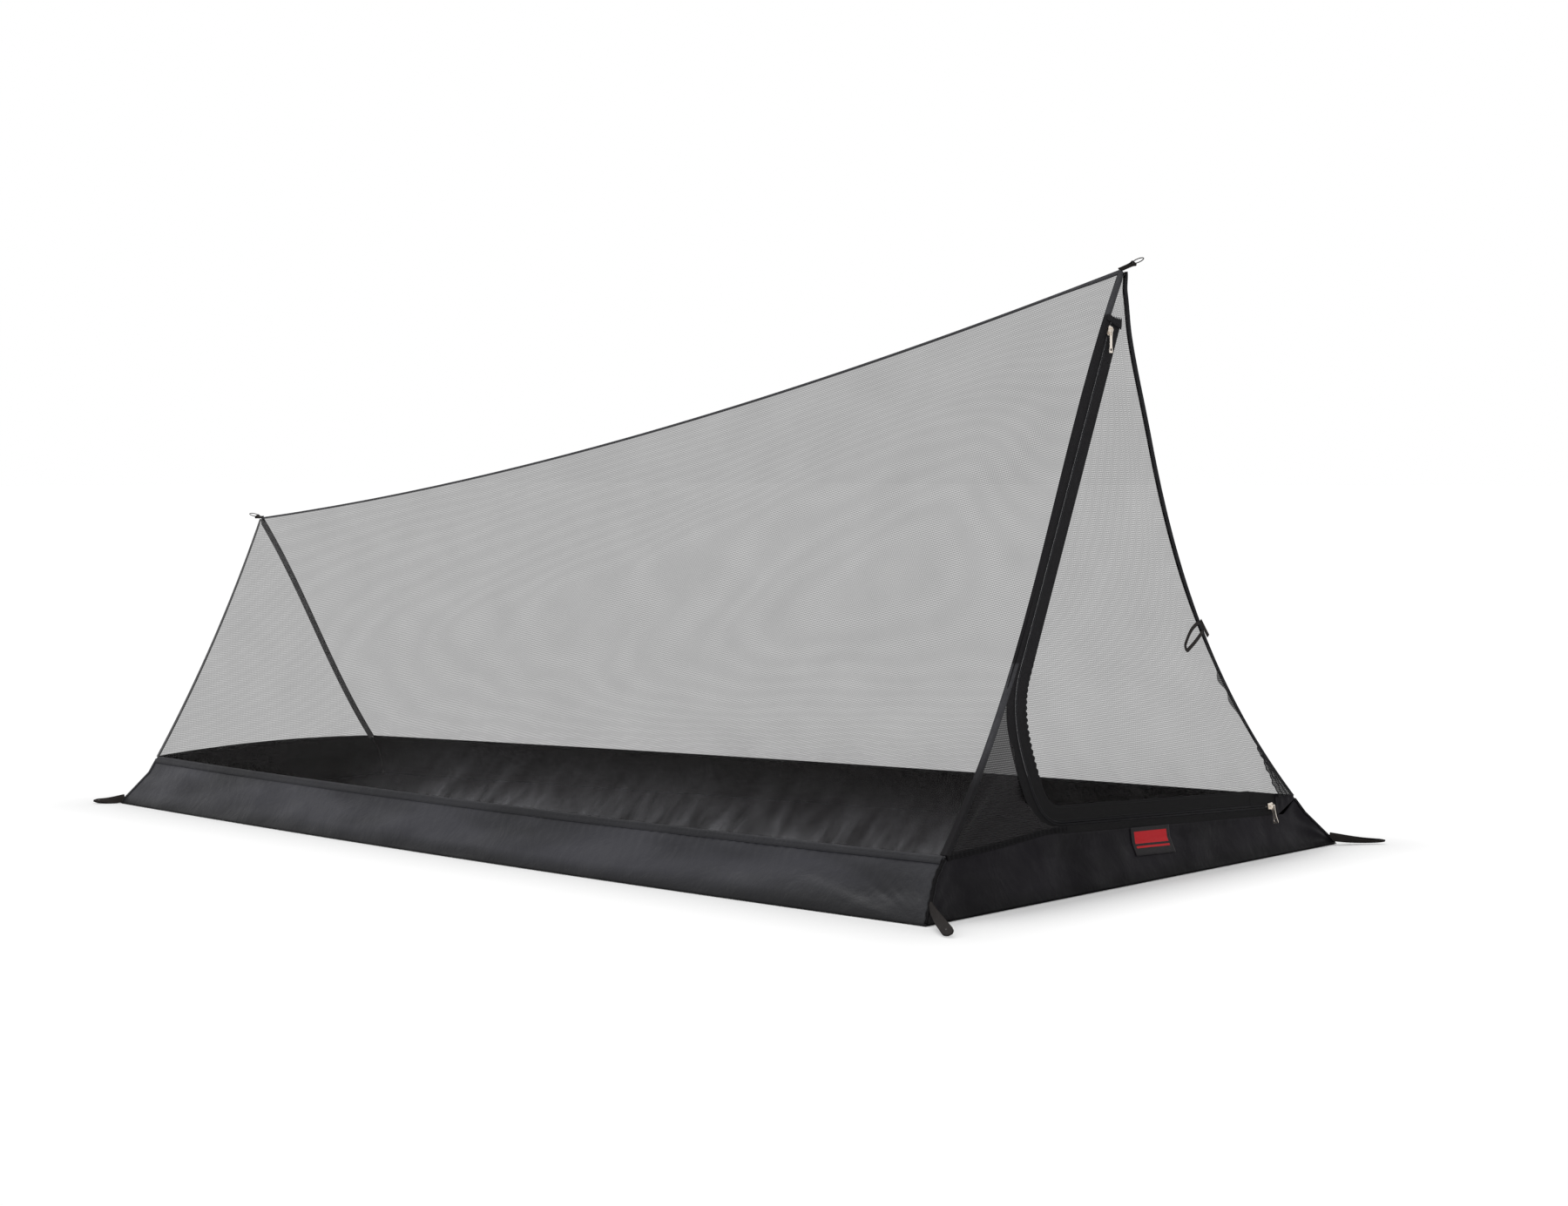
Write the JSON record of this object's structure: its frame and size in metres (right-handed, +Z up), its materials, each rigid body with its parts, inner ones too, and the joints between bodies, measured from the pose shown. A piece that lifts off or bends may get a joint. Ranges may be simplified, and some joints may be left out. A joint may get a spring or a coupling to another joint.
{
  "type": "mosquito net tent",
  "caption": "Inner net tent for one sleeper: dark floor and low walls, hanging-curve seams, a two-way zip door and a ring at each end of the ridge",
  "frame": {"origin": "on the ground under the middle of the floor, at the floor's underside", "axes": "+Z up, the door end faces -Y, the foot end +Y, +X to the right of someone looking in at the door"},
  "size_m": [1.3352, 2.3152, 1.0066],
  "materials": {
    "net": "fine grey insect net, matt",
    "wall": "dark coated fabric with a soft sheen",
    "floor": "dark coated fabric",
    "tape": "woven seam binding, matt",
    "zip": "black zip tape with a coil chain",
    "slider": "nickel plated",
    "pull": "nickel plated",
    "webbing": "dark webbing, matt",
    "ring": "plated wire"
  },
  "bodies": {
    "tent": {"floor_sheet": "floor", "wall_left": "wall", "wall_right": "wall", "wall_front": "wall", "wall_rear": "wall", "net_left": "net", "net_right": "net", "net_rear": "net", "front_net": "net", "front_gusset": "net", "wall_seam_left": "tape", "wall_seam_right": "tape", "wall_seam_rear": "tape", "ridge_tape": "tape", "front_tape_left": "tape", "front_tape_right": "tape", "rear_tape_left": "tape", "rear_tape_right": "tape", "zip_end_patch": "tape", "zip_fixed_tape": "zip", "zip_top_tape": "zip", "zip_end_tape": "zip", "zip_top_fold": "zip", "front_tab": "webbing", "rear_tab": "webbing", "tie_end": "webbing", "stake_loop_front_left": "webbing", "stake_loop_front_right": "webbing", "stake_loop_rear_left": "webbing", "stake_loop_rear_right": "webbing"},
    "door": {"door_net": "net", "door_zip_tape": "zip"},
    "upper_slider": {"top_slider": "slider"},
    "upper_pull": {"top_pull": "pull"},
    "lower_slider": {"foot_slider": "slider"},
    "lower_pull": {"foot_pull": "pull"},
    "ring_at_front": {"front_ring": "ring"},
    "ring_at_rear": {"rear_ring": "ring"},
    "tie_back": {"tie_loop": "webbing"}
  },
  "joints": [
    {"name": "door_swing", "type": "hinge", "parent": "tent", "child": "door", "pos_m": [-0.0121, -1.02852, 0.83313], "axis": [-0.4642, 0.0413, 0.8848], "range_deg": [0, 120]},
    {"name": "upper_slider_travel", "type": "hinge", "parent": "tent", "child": "upper_slider", "pos_m": [-1.90439, -2.42569, 1.42666], "axis": [-0.5318, 0.811, 0.244], "range_deg": [0, 13.8]},
    {"name": "upper_pull_swing", "type": "hinge", "parent": "upper_slider", "child": "upper_pull", "pos_m": [-0.02717, -1.03703, 0.88668], "axis": [-1, 0, 0], "range_deg": [0, 110]},
    {"name": "lower_slider_travel", "type": "slide", "parent": "tent", "child": "lower_slider", "axis": [-0.9989, 0.0079, 0.0471], "range_m": [0, 0.605]},
    {"name": "lower_pull_swing", "type": "hinge", "parent": "lower_slider", "child": "lower_pull", "pos_m": [0.427, -1.07476, 0.08139], "axis": [-0.9989, 0.0079, 0.0471], "range_deg": [0, 150]},
    {"name": "front_ring_swing", "type": "hinge", "parent": "tent", "child": "ring_at_front", "pos_m": [0, -1.0626, 0.9975], "axis": [1, 0, 0], "range_deg": [-60, 60]},
    {"name": "rear_ring_swing", "type": "hinge", "parent": "tent", "child": "ring_at_rear", "pos_m": [0, 1.0927, 0.5665], "axis": [1, 0, 0], "range_deg": [-60, 60]},
    {"name": "tie_back_swing", "type": "hinge", "parent": "tent", "child": "tie_back", "pos_m": [0.25854, -1.03195, 0.3982], "axis": [-0.5124, 0.058, 0.8568], "range_deg": [0, 120]}
  ],
  "couplings": [
    {"joint": "tie_back_swing", "follows": "door_swing", "ratio": 1}
  ]
}
